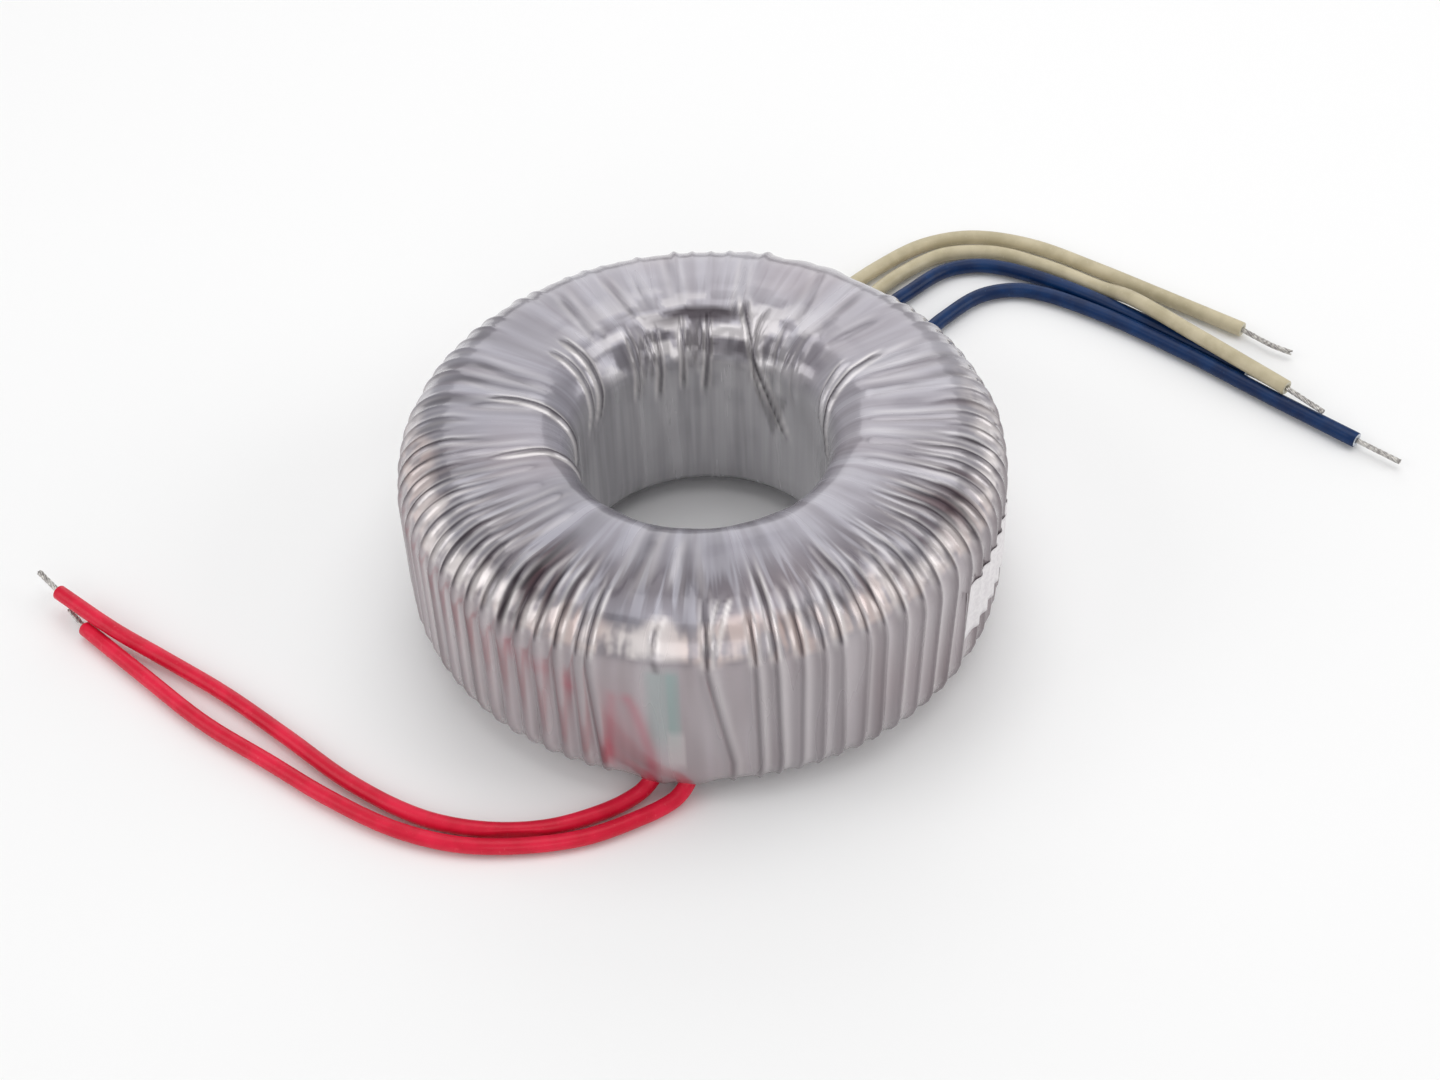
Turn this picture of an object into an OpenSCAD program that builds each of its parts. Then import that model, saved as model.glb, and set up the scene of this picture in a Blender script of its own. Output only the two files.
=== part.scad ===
// Toroidal mains transformer with flying leads.
// Origin: centre of the underside, on the surface it stands on. +Z is the ring's axis, and the
// primary (red) leads leave at the front, on the -Y side.

/* [Core] */
// Outer diameter of the wound steel core
core_od = 70; // [69:0.5:71]
// Inner diameter of the wound steel core
core_id = 46; // [44:0.5:47]
// Width of the steel strip, which is the height of the core
core_h = 20; // [18:0.5:22]
// Number of strip edges that show on each end of the core
core_turns = 24; // [12:1:30]

/* [Windings] */
// Thickness of the tape bound round the core
core_tape = 0.3; // [0.2:0.05:0.4]
// Build of the primary winding on the outer wall
primary_wall = 2.4; // [2.3:0.1:2.6]
// Build of the primary winding on the two faces
primary_face = 2.55; // [2.4:0.05:2.8]
// Build of the primary winding in the hole, where the turns crowd
primary_hole = 3.9; // [3.6:0.1:4]
// Thickness of the tape between primary and secondaries
barrier = 0.3; // [0.2:0.05:0.4]
// Diameter of the secondary wire over its enamel
wire_d = 0.95; // [0.9:0.01:0.96]
// Angle between neighbouring secondary turns
turn_pitch = 4.09; // [4:0.01:4.1]

/* [Outer film] */
// Thickness of the film wrap between the pleats
film_wall = 0.3; // [0.25:0.05:0.35]
// Thickness of the film wrap in the hole, where its turns overlap
film_hole = 0.6; // [0.5:0.05:0.7]
// Height of a pleat on the outer wall
pleat_h = 0.5; // [0.3:0.05:0.6]
// Width of a pleat at its foot
pleat_w = 1.5; // [1:0.1:1.8]

/* [Leads] */
// Diameter of a primary lead over its insulation
red_d = 2.1; // [1.9:0.05:2.2]
// Diameter of a secondary lead over its insulation
pair_d = 2.25; // [2:0.05:2.3]
// Diameter of the tinned strands
strand_d = 0.8; // [0.6:0.1:1]

/* [Label] */
// Angle at which the label starts, counted from the front
label_from = 55; // [50:1:60]
// Angle that the label spans
label_span = 82; // [60:1:82]
// Height of the label
label_h = 9; // [6:0.5:10]

/* [Hidden] */
$fn = 64;

wire_space = 1.2;           // the layer that the secondary wire lies in
base_t = 0.5;               // film under the ring, pressed flat
floor_fillet = 8;           // outer corner of the finished ring
hole_corner = 6;            // inner corner of the finished ring

// Levels and radii of each layer, from the floor up and from the core out
z_core = base_t + wire_space + barrier + primary_face + core_tape;
r_tape_o = core_od / 2 + core_tape;
r_tape_i = core_id / 2 - core_tape;
r_barrier_o = r_tape_o + primary_wall + barrier;
r_barrier_i = r_tape_i - primary_hole - barrier;
r_cavity_o = r_barrier_o + wire_space;
r_cavity_i = r_barrier_i - wire_space;
z_barrier_lo = base_t + wire_space;
z_barrier_hi = z_core + core_h + core_tape + primary_face + barrier;
z_cavity_hi = z_barrier_hi + wire_space;
r_wall = r_cavity_o + film_wall;
r_hole = r_cavity_i - film_hole;
z_top = z_cavity_hi + film_wall;
corner_o = floor_fillet - pleat_h - film_wall;   // outer corner of the space in the film
corner_i = hole_corner - film_hole;              // inner corner of the space in the film

// A layer's section: inner radius, outer radius, bottom, top, inner corner, outer corner
core_section = [core_id / 2, core_od / 2, z_core, z_core + core_h, 0.5, 0.5];
tape_section = [r_tape_i, r_tape_o, z_core - core_tape, z_core + core_h + core_tape, 0.8, 0.8];
primary_section = [
    r_barrier_i + barrier, r_barrier_o - barrier, z_barrier_lo + barrier, z_barrier_hi - barrier,
    corner_i - wire_space - barrier, corner_o - wire_space - barrier
];
barrier_section = [
    r_barrier_i, r_barrier_o, z_barrier_lo, z_barrier_hi, corner_i - wire_space, corner_o - wire_space
];
cavity_section = [r_cavity_i, r_cavity_o, base_t, z_cavity_hi, corner_i, corner_o];

// Places of the secondary turns: counter-clockwise from the rear opening, over the front opening
rear_first = 74.5;
rear_count = 44;
front_first = 272.5;
front_count = 34;
turn_count = rear_count + front_count;
function turn_angle(i) =
    i < rear_count ? rear_first + turn_pitch * i : front_first + turn_pitch * (i - rear_count);

// Splices: angle round the ring, radius, and height of the sleeve
sleeve_l = 6;
red_sleeve_z = 10;
pair_sleeve_z = 11;
blue_end_angle = 60.5;
cream_end_angle = 66;

// Routes of the leads, from the splice to the cut end
red_route_1 = [
    [-6.5, -36, 10], [-6.5, -36, 5], [-7.5, -36.8, 2.2], [-9.5, -38.5, 1.1], [-14, -41.2, 1.1],
    [-21, -43.3, 1.1], [-29, -43.2, 1.1], [-37, -40.8, 1.1], [-46, -35, 1.1], [-55, -27, 1.1],
    [-64, -19.2, 1.1], [-73, -12.6, 1.3], [-80, -8.2, 2.4], [-88.5, -1.5, 3.2]
];
red_route_2 = [
    [-2.5, -36.5, 10], [-2.5, -36.5, 5], [-3.1, -37.7, 2.2], [-5, -39.7, 1.1], [-9.5, -42.4, 1.1],
    [-16, -45, 1.1], [-24, -46, 1.1], [-32, -45.4, 1.1], [-40, -42.6, 1.1], [-48.5, -37.4, 1.1],
    [-57, -31, 1.1], [-66, -24.2, 1.1], [-75, -15.7, 1.1], [-84.5, -6.5, 1.1]
];
function at_angle(a, z) = [lead_drop_r * cos(a), lead_drop_r * sin(a), z];
lead_drop_r = r_barrier_o + pair_d / 2 + 0.02;
cream_route_1 = [
    at_angle(rear_first, 11), at_angle(rear_first, 5.6), [10.8, 39, 2.4], [11.6, 42, 1.9],
    [13.4, 47, 3.8], [17, 53.5, 1.8], [22, 59.6, 1.2], [28.5, 65.7, 1.2], [36, 70.9, 1.2],
    [44, 72.5, 1.2], [53, 69.8, 1.2], [62, 63.6, 1.2], [72, 55.8, 1.2], [82.5, 47.5, 1.2]
];
cream_route_2 = [
    at_angle(cream_end_angle, 11), at_angle(cream_end_angle, 5.6), [16.5, 37, 2.4],
    [18, 40.5, 1.2], [20.4, 46, 2.2], [23, 51.5, 3.9], [26, 57, 1.9], [31.5, 63.5, 1.2],
    [39, 68.3, 1.2], [47, 68.3, 1.2], [55, 64.2, 1.2], [62.3, 58.6, 1.3], [66.3, 53.2, 3.4],
    [74, 44.4, 3.6], [85.8, 31.6, 3.2]
];
blue_route_1 = [
    at_angle(rear_first + turn_pitch, 11), at_angle(rear_first + turn_pitch, 5.6),
    [8.1, 39.9, 2.4], [9, 43, 1.2], [12.6, 46.6, 1.2], [19, 49.6, 1.2], [25.5, 52.8, 1.2],
    [32, 58.6, 1.2], [39, 64.3, 1.2], [46, 65, 1.2], [56, 59.9, 1.2], [68.7, 49.6, 1.2],
    [81.5, 37.7, 1.2]
];
blue_route_2 = [
    at_angle(blue_end_angle, 11), at_angle(blue_end_angle, 5.6), [19.9, 35.3, 2.4],
    [21.6, 38.4, 1.2], [26, 42.2, 1.2], [32, 46.6, 1.2], [37.5, 52.6, 1.2], [44, 57.9, 1.2],
    [51, 58.6, 1.2], [61, 52.9, 1.2], [73, 42.6, 1.2], [84, 31.8, 1.2], [94.3, 22, 1.2]
];
bend_steps = 3;             // route segments inside the ring and round the bend
way_gap = 0.1;              // room left round a lead where it passes a layer
tube_sides = 8;

// Ends of the tinned strands, past the cut insulation
red_tip_end_1 = [-92, 2.5, 3.4];
red_tip_end_2 = [-87.4, -2.6, 1.1];
cream_tip_bend_1 = [86.2, 43.6, 1.2];
cream_tip_end_1 = [89, 41.6, 1.2];
cream_tip_end_2 = [90.4, 25.9, 3];
blue_tip_end_1 = [85.2, 34, 1.2];
blue_tip_end_2 = [99.8, 16.8, 1.2];

// ---------------------------------------------------------------- helpers

// Section of a ring with its own radii on the inner and the outer corners
module ring_section(s) {
    r_i = s[0];
    r_o = s[1];
    lo = s[2];
    hi = s[3];
    c_i = s[4];
    c_o = s[5];
    translate([r_i + c_i, lo]) square([r_o - c_o - r_i - c_i, hi - lo]);
    translate([r_i, lo + c_i]) square([c_i, hi - lo - 2 * c_i]);
    translate([r_o - c_o, lo + c_o]) square([c_o, hi - lo - 2 * c_o]);
    for (z = [lo + c_i, hi - c_i]) translate([r_i + c_i, z]) circle(r = c_i);
    for (z = [lo + c_o, hi - c_o]) translate([r_o - c_o, z]) circle(r = c_o);
}

// Ring between two sections, closed all round
module shell_ring(outer, inner) {
    rotate_extrude() difference() {
        ring_section(outer);
        ring_section(inner);
    }
}

// Round bar from one point to another
module bar(p, q, r) {
    d = q - p;
    l = norm(d);
    translate(p) rotate([0, acos(d[2] / l), atan2(d[1], d[0])]) cylinder(h = l, r = r);
}

// The way a lead takes through the layers, as a cutter
module lead_way(route, d) {
    r = d / 2 + way_gap;
    for (i = [0:bend_steps - 1]) {
        bar(route[i], route[i + 1], r);
        translate(route[i + 1]) sphere(r = r + 0.02);
    }
}

function unit(v) = v / norm(v);

// Direction of a route at its point i
function heading(route, i) =
    let (n = len(route) - 1)
    i == 0 ? unit(route[1] - route[0]) :
    i == n ? unit(route[n] - route[n - 1]) :
    unit(unit(route[i + 1] - route[i]) + unit(route[i] - route[i - 1]));

// Side vectors carried along a route without twist
function side_vectors(route, i = 0, last = [1, 0, 0]) =
    i == len(route) ? [] :
    let (t = heading(route, i), s = unit(last - (last * t) * t))
    concat([s], side_vectors(route, i + 1, s));

// Tube swept along a route, one ring at each of its points
module tube(route, d, sides = tube_sides) {
    side = side_vectors(route);
    rings = len(route);
    points = [
        for (i = [0:rings - 1], k = [0:sides - 1])
            let (t = heading(route, i), a = 360 * (k + 0.5) / sides)
            route[i] + d / 2 * (cos(a) * side[i] + sin(a) * cross(t, side[i]))
    ];
    function at(i, k) = i * sides + k % sides;
    faces = concat(
        [for (i = [0:rings - 2], k = [0:sides - 1]) [at(i, k), at(i + 1, k), at(i, k + 1)]],
        [for (i = [0:rings - 2], k = [0:sides - 1])
            [at(i, k + 1), at(i + 1, k), at(i + 1, k + 1)]],
        [[for (k = [0:sides - 1]) at(0, k)]],
        [[for (k = [sides - 1:-1:0]) at(rings - 1, k)]]
    );
    polyhedron(points, faces, convexity = 6);
}

// ---------------------------------------------------------------- core and insulation

// The core is one long strip wound up and spot-welded; its edges show as rings on both ends
module core() {
    step = (core_od - core_id) / 2 / core_turns;
    groove = 0.08;
    color("dimgray") rotate_extrude() difference() {
        translate([core_id / 2, z_core]) square([(core_od - core_id) / 2, core_h]);
        for (i = [1:core_turns - 1], z = [z_core, z_core + core_h - groove])
            translate([core_id / 2 + i * step - groove / 2, z]) square([groove, groove]);
    }
}

module core_tape() {
    square_core = [core_id / 2, core_od / 2, z_core, z_core + core_h];
    color("gold") rotate_extrude() difference() {
        ring_section(tape_section);
        translate([square_core[0], square_core[2]])
            square([square_core[1] - square_core[0], square_core[3] - square_core[2]]);
    }
}

// The primary fills the space between the tapes. It is parted in front for the two splices.
module primary_winding() {
    wire_end_r = 0.3;
    pocket_r = red_d / 2 + 0.3;
    pocket_top = red_sleeve_z + sleeve_l + 3;
    color("peru") {
        difference() {
            shell_ring(primary_section, tape_section);
            for (route = [red_route_1, red_route_2]) {
                lead_way(route, red_d);
                translate([route[0][0], route[0][1], red_sleeve_z - 1])
                    cylinder(h = pocket_top - red_sleeve_z + 1, r = pocket_r);
            }
        }
        for (route = [red_route_1, red_route_2])
            translate([route[0][0], route[0][1], red_sleeve_z + sleeve_l])
                cylinder(h = pocket_top - red_sleeve_z - sleeve_l + 1, r = wire_end_r);
    }
}

module barrier_tape() {
    color("khaki") difference() {
        shell_ring(barrier_section, primary_section);
        for (route = [red_route_1, red_route_2]) lead_way(route, red_d);
    }
}

// ---------------------------------------------------------------- secondary windings

wire_sides = 4;
wire_step = 30;             // angle between the wire's points in a bend
wire_r_out = r_barrier_o + wire_space / 2;      // wire's centre on the outer wall
wire_r_in = r_barrier_i - wire_space / 2;       // wire's centre in the hole
wire_z_lo = z_barrier_lo - wire_space / 2;
wire_z_hi = z_barrier_hi + wire_space / 2;
bend_o = corner_o - wire_space / 2;
bend_i = corner_i - wire_space / 2;

function at_ring(a, r, z) = [r * cos(a), r * sin(a), z];

// Points of a quarter bend in the upright plane at angle a, about a centre at radius r and height z
function wire_bend(a, r, z, bend, from) =
    let (spread = bend * 2 / (1 + cos(wire_step / 2)))
    [for (w = [from:wire_step:from + 90]) at_ring(a, r + spread * cos(w), z + spread * sin(w))];

function foot_bend(a) = wire_bend(a, wire_r_out - bend_o, wire_z_lo + bend_o, bend_o, 270);

// One turn: from the outer wall over the top, down the hole, and under to the next turn's foot
function wire_turn(a, next) = concat(
    wire_bend(a, wire_r_out - bend_o, wire_z_hi - bend_o, bend_o, 0),
    wire_bend(a, wire_r_in + bend_i, wire_z_hi - bend_i, bend_i, 90),
    wire_bend(a, wire_r_in + bend_i, wire_z_lo + bend_i, bend_i, 180),
    foot_bend(next)
);

// The finish of a winding: up the wall, across above the other splices, and down to its sleeve
function wire_finish(a, b, z) =
    let (turn = atan(wire_space / wire_r_out))
    [
        at_ring(a, wire_r_out, z - wire_space), at_ring(a + turn / 3, wire_r_out, z - wire_space / 3),
        at_ring(a + turn, wire_r_out, z), at_ring(b - turn, wire_r_out, z),
        at_ring(b - turn / 3, wire_r_out, z - wire_space / 3), at_ring(b, wire_r_out, z - wire_space),
        at_ring(b, wire_r_out, pair_sleeve_z + sleeve_l)
    ];

// One of the two secondaries, wound side by side in one continuous wire; first is 0 or 1
module secondary(first, finish_angle, finish_z) {
    tube(concat(
        [at_ring(turn_angle(first), wire_r_out, pair_sleeve_z + sleeve_l)],
        [for (i = [first:2:turn_count - 1]) each wire_turn(turn_angle(i), turn_angle(i + 2))],
        wire_finish(turn_angle(first + turn_count), finish_angle + 360, finish_z)
    ), wire_d, wire_sides);
}

module secondary_winding_1() {
    color("chocolate") secondary(0, cream_end_angle, 21.2);
}

module secondary_winding_2() {
    color("sienna") secondary(1, blue_end_angle, 19.2);
}

// ---------------------------------------------------------------- outer film

// The film is stretched over the secondary turns, so each turn stands out as a pleat. Where the
// leads come out there are no turns, and the film lies in a few broad wrinkles instead.
front_patch = [turn_angle(rear_count - 1), front_first];
rear_patch = [turn_angle(turn_count - 1) - 360, rear_first];
patch_columns = 5;
lip_h = 0.9;                // the film's lift where the primary leads come out
swell_h = 1.3;              // the film's lift over the secondary splices
r_corner = r_wall + pleat_h - floor_fillet;
z_corner_hi = z_top - floor_fillet + pleat_h;
r_inner = r_hole + hole_corner;
z_inner_hi = z_top - hole_corner;
film_corner = floor_fillet - pleat_h;

// Stations round the ring's section, from the hole over the top and back under:
// radius, height, outward direction as an angle, and share of the pleat's height
stations = concat(
    [for (a = [180:-22.5:90])
        [r_inner + hole_corner * cos(a), z_inner_hi + hole_corner * sin(a), a, (180 - a) / 300]],
    [for (a = [90:-22.5:0])
        [r_corner + film_corner * cos(a), z_corner_hi + film_corner * sin(a), a, 1]],
    [for (a = [0:-22.5:-90])
        let (flush = floor_fillet - pleat_h * (1 + sin(a)))
        [r_corner + flush * cos(a), floor_fillet + flush * sin(a), a, 1 + sin(a)]],
    [for (a = [-90:-30:-180])
        [r_inner + hole_corner * cos(a), hole_corner + hole_corner * sin(a), a, 0]]
);

// Columns round the ring: angle, pleat height from 0 to 1, and lean of the pleat in degrees
pleat_seed = 7;
heights = rands(0.72, 1, turn_count, pleat_seed);
leans = rands(-0.5, 0.5, turn_count, pleat_seed + 1);
foot = asin(pleat_w / 2 / r_wall);
function patch(p, i) = [p[0] + (p[1] - p[0]) * i / (patch_columns + 1), 0.25 * (i % 2), 0];
function pleat(i) =
    let (a = turn_angle(i), lean = i == rear_count ? 3 : leans[i])
    [[a - foot, 0, lean], [a, heights[i], lean], [a + foot, 0, lean]];
columns = concat(
    [for (i = [0:rear_count - 1]) each pleat(i)],
    [for (i = [1:patch_columns]) patch(front_patch, i)],
    [for (i = [rear_count:turn_count - 1]) each pleat(i)],
    [for (i = [1:patch_columns]) patch(rear_patch + [360, 360], i)]
);

// Soft bump, 1 in its middle and 0 beyond its half-width
function bump(x, half) = abs(x) >= half ? 0 : (1 + cos(180 * x / half)) / 2;
function lead_angle(route) = atan2(route[0][1], route[0][0]);

// Lift of the film over what lies under it, at an angle round the ring and a height
function lift(a, z) =
    lip_h * max([for (r = [red_route_1, red_route_2]) bump(a - 360 - lead_angle(r), 7)])
        * bump(z - 1.5, 4.5)
    + swell_h * max([for (r = [cream_route_1, cream_route_2, blue_route_1, blue_route_2])
        max(bump(a - lead_angle(r), 6.5), bump(a - 360 - lead_angle(r), 6.5))])
        * (z < 3 ? z / 3 : z < z_corner_hi ? 1 : bump(z - z_corner_hi, floor_fillet));

// The space in the film has flat facets that stay just outside the round windings
space_columns = 44;
space_step = 22.5;
function arc(r, z, bend, from) =
    [for (a = [from:-space_step:from - 90])
        [r + bend / cos(space_step / 2) * cos(a), z + bend / cos(space_step / 2) * sin(a)]];
space_r = r_cavity_o / cos(180 / space_columns) - corner_o;
space_stations = concat(
    arc(r_cavity_i + corner_i, z_cavity_hi - corner_i, corner_i, 180),
    arc(space_r, z_cavity_hi - corner_o, corner_o, 90),
    arc(space_r, base_t + corner_o, corner_o, 0),
    arc(r_cavity_i + corner_i, base_t + corner_i, corner_i, -90)
);

// Closed skin through a grid of points, n columns of m stations
module skin(points, n, m) {
    function at(i, j) = (i % n) * m + j % m;
    faces = [
        for (i = [0:n - 1], j = [0:m - 1], k = [0, 1])
            k == 0 ? [at(i, j), at(i + 1, j), at(i, j + 1)]
                : [at(i, j + 1), at(i + 1, j), at(i + 1, j + 1)]
    ];
    polyhedron(points, faces, convexity = 10);
}

module film_outside() skin([
    for (c = columns, s = stations)
        let (
            a = c[0] + c[2] * (s[1] / z_top - 0.5),
            out = pleat_h * c[1] * s[3] + (s[0] > r_corner ? lift(a, s[1]) : 0),
            r = s[0] + out * cos(s[2]),
            z = max(s[1] + out * sin(s[2]), 0)
        )
        [r * cos(a), r * sin(a), z]
], len(columns), len(stations));

module film_inside() skin([
    for (i = [0:space_columns - 1], s = space_stations)
        let (a = 360 * i / space_columns)
        [s[0] * cos(a), s[0] * sin(a), s[1]]
], space_columns, len(space_stations));

// Room for a lead, and for its splice sleeve, between two points
module room(p, q, d) {
    $fn = 12;
    hull() for (c = [p, q]) translate(c) sphere(d = d);
}

module outer_film_wrap() {
    color("thistle") difference() {
        film_outside();
        film_inside();
        for (route = [red_route_1, red_route_2], i = [0:bend_steps - 1])
            room(route[i], route[i + 1], red_d + 2 * way_gap);
        for (route = [cream_route_1, cream_route_2, blue_route_1, blue_route_2]) {
            for (i = [0:bend_steps - 1]) room(route[i], route[i + 1], pair_d + 2 * way_gap);
            room(route[0], route[0] + [0, 0, sleeve_l], pair_d + 4 * way_gap);
        }
    }
}

// ---------------------------------------------------------------- tape, tag and label

// Strip lying on a wall of the ring, between two angles and two heights
module wall_strip(r, thick, from, to, lo, hi) {
    rotate([0, 0, from]) rotate_extrude(angle = to - from)
        translate([r, lo]) square([thick, hi - lo]);
}

module splice_tape() {
    color("darkcyan") wall_strip(r_barrier_o, 0.3, 257.5, 269, 9.5, z_corner_hi);
}

module lead_tag() {
    color("gainsboro") wall_strip(r_barrier_o + 0.3, 0.2, 262, 266.5, 9.5, 17.5);
}

module rating_label() {
    color("white") wall_strip(r_wall + pleat_h, 0.15, label_from - 90, label_from + label_span - 90,
        10, 10 + label_h);
}

// ---------------------------------------------------------------- splices and leads

module splice_sleeve(route, d) {
    color("whitesmoke") translate(route[0]) cylinder(h = sleeve_l, r = d / 2);
}

// Tinned strands, from the cut insulation through an optional bend to their end
module tip(route, ends) {
    color("silver") tube(concat([route[len(route) - 1]], ends), strand_d);
}

module splice_sleeve_red_1() splice_sleeve(red_route_1, red_d);
module splice_sleeve_red_2() splice_sleeve(red_route_2, red_d);
module splice_sleeve_cream_1() splice_sleeve(cream_route_1, pair_d);
module splice_sleeve_cream_2() splice_sleeve(cream_route_2, pair_d);
module splice_sleeve_blue_1() splice_sleeve(blue_route_1, pair_d);
module splice_sleeve_blue_2() splice_sleeve(blue_route_2, pair_d);

module red_lead_1() color("crimson") tube(red_route_1, red_d);
module red_lead_2() color("crimson") tube(red_route_2, red_d);
module cream_lead_1() color("wheat") tube(cream_route_1, pair_d);
module cream_lead_2() color("wheat") tube(cream_route_2, pair_d);
module blue_lead_1() color("midnightblue") tube(blue_route_1, pair_d);
module blue_lead_2() color("midnightblue") tube(blue_route_2, pair_d);

module red_tip_1() tip(red_route_1, [red_tip_end_1]);
module red_tip_2() tip(red_route_2, [red_tip_end_2]);
module cream_tip_1() tip(cream_route_1, [cream_tip_bend_1, cream_tip_end_1]);
module cream_tip_2() tip(cream_route_2, [cream_tip_end_2]);
module blue_tip_1() tip(blue_route_1, [blue_tip_end_1]);
module blue_tip_2() tip(blue_route_2, [blue_tip_end_2]);

core();
core_tape();
primary_winding();
barrier_tape();
secondary_winding_1();
secondary_winding_2();
outer_film_wrap();
splice_tape();
lead_tag();
rating_label();
splice_sleeve_red_1();
splice_sleeve_red_2();
splice_sleeve_cream_1();
splice_sleeve_cream_2();
splice_sleeve_blue_1();
splice_sleeve_blue_2();
red_lead_1();
red_lead_2();
cream_lead_1();
cream_lead_2();
blue_lead_1();
blue_lead_2();
red_tip_1();
red_tip_2();
cream_tip_1();
cream_tip_2();
blue_tip_1();
blue_tip_2();
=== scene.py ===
import math

import bpy
import numpy as np
from mathutils import Matrix, Vector


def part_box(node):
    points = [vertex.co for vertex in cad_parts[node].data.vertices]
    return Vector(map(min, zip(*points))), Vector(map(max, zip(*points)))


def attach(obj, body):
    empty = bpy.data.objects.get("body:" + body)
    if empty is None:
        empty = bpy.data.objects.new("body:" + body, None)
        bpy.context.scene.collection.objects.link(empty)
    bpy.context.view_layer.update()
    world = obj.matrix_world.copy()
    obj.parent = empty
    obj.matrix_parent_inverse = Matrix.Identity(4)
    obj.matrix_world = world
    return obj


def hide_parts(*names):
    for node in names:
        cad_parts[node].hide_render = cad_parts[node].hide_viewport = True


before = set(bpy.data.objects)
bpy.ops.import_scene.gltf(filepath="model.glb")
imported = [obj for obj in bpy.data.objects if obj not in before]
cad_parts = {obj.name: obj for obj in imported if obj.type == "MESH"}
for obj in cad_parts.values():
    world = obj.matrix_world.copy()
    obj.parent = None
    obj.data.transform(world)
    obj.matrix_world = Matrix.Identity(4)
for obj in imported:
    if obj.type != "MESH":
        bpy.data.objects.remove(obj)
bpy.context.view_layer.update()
mm = 0.001
print("frame loaded", len(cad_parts), "nodes")

# camera first, then the leads: distance and aim in millimetres, angles in degrees
camera = {"lens": 58.0, "distance": 304.0, "elevation": 44.98, "roll": 1.97, "aim": (1.97, -7.67, 15.0),
          "near": 0.01}


def placeCamera(c):
    tilt, roll = math.radians(c["elevation"]), math.radians(c["roll"])
    right = Vector((1, 0, 0))
    up = Vector((0, math.sin(tilt), math.cos(tilt)))
    back = Vector((0, -math.cos(tilt), math.sin(tilt)))
    across = math.cos(roll) * right - math.sin(roll) * up
    upright = math.sin(roll) * right + math.cos(roll) * up
    data = bpy.data.cameras.new("camera")
    data.lens = c["lens"]
    data.clip_start = c["near"]
    cam = bpy.data.objects.new("camera", data)
    cam.matrix_world = Matrix((across, upright, back)).transposed().to_4x4()
    cam.location = (Vector(c["aim"]) + c["distance"] * back) * mm
    bpy.context.scene.collection.objects.link(cam)
    bpy.context.scene.camera = cam


placeCamera(camera)


def addMesh(name, verts, faces, material, smooth=True):
    mesh = bpy.data.meshes.new(name)
    mesh.from_pydata([tuple(v) for v in verts], [], faces)
    mesh.update()
    if smooth:
        mesh.polygons.foreach_set("use_smooth", [True] * len(mesh.polygons))
    obj = bpy.data.objects.new(name, mesh)
    bpy.context.scene.collection.objects.link(obj)
    mesh.materials.append(material)
    return obj


def pointLayer(obj, name, values):  # a number at every point, for the material to read
    layer = obj.data.attributes.new(name, "FLOAT", "POINT")
    layer.data.foreach_set("value", values)


class Link:  # a node's output, with arithmetic
    def __init__(self, shade, socket):
        self.shade, self.socket = shade, socket

    def __add__(self, other):
        return self.shade.calc("ADD", self, other)

    def __radd__(self, other):
        return self.shade.calc("ADD", other, self)

    def __sub__(self, other):
        return self.shade.calc("SUBTRACT", self, other)

    def __rsub__(self, other):
        return self.shade.calc("SUBTRACT", other, self)

    def __mul__(self, other):
        return self.shade.calc("MULTIPLY", self, other)

    def __rmul__(self, other):
        return self.shade.calc("MULTIPLY", other, self)

    def __truediv__(self, other):
        return self.shade.calc("DIVIDE", self, other)

    def __rtruediv__(self, other):
        return self.shade.calc("DIVIDE", other, self)


class Shade:  # one material and its nodes
    def __init__(self, name):
        self.material = bpy.data.materials.new(name)
        self.material.use_nodes = True
        self.tree = self.material.node_tree
        self.tree.nodes.clear()
        self.shader = self.tree.nodes.new("ShaderNodeBsdfPrincipled")
        out = self.tree.nodes.new("ShaderNodeOutputMaterial")
        self.tree.links.new(self.shader.outputs[0], out.inputs[0])
        self.place = self.node("ShaderNodeTexCoord", out="Object")

    def feed(self, socket, value):
        if isinstance(value, Link):
            self.tree.links.new(value.socket, socket)
        elif socket.type == "RGBA":
            socket.default_value = (*value, 1)
        else:
            socket.default_value = value

    def node(self, kind, settings=None, inputs=None, out=0):
        made = self.tree.nodes.new(kind)
        for key, value in (settings or {}).items():
            setattr(made, key, value)
        for key, value in (inputs or {}).items():
            self.feed(made.inputs[key], value)
        return Link(self, made.outputs[out])

    def calc(self, operation, *values):
        return self.node("ShaderNodeMath", {"operation": operation}, dict(enumerate(values)))

    def fade(self, value, low, high):  # 0 at low and below, 1 at high and above, smooth between them
        return self.node("ShaderNodeMapRange", {"interpolation_type": "SMOOTHSTEP"},
                         {"Value": value, "From Min": low, "From Max": high})

    def mix(self, factor, a, b):
        return self.node("ShaderNodeMix", {"data_type": "RGBA"}, {0: factor, 6: a, 7: b}, out=2)

    def noise(self, scale, detail, at=None):
        return self.node("ShaderNodeTexNoise", None,
                         {"Vector": at or self.place, "Scale": scale, "Detail": detail})

    def stretch(self, x, y, z):
        return self.node("ShaderNodeMapping", None, {"Vector": self.place, "Scale": (x, y, z)})

    def attribute(self, name):
        return self.node("ShaderNodeAttribute", {"attribute_name": name}, out="Fac")

    def bump(self, height, strength, distance):
        return self.node("ShaderNodeBump", None,
                         {"Height": height, "Strength": strength, "Distance": distance})

    def finish(self, **sockets):
        for key, value in sockets.items():
            self.feed(self.shader.inputs[key.replace("_", " ")], value)
        return self.material


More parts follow.
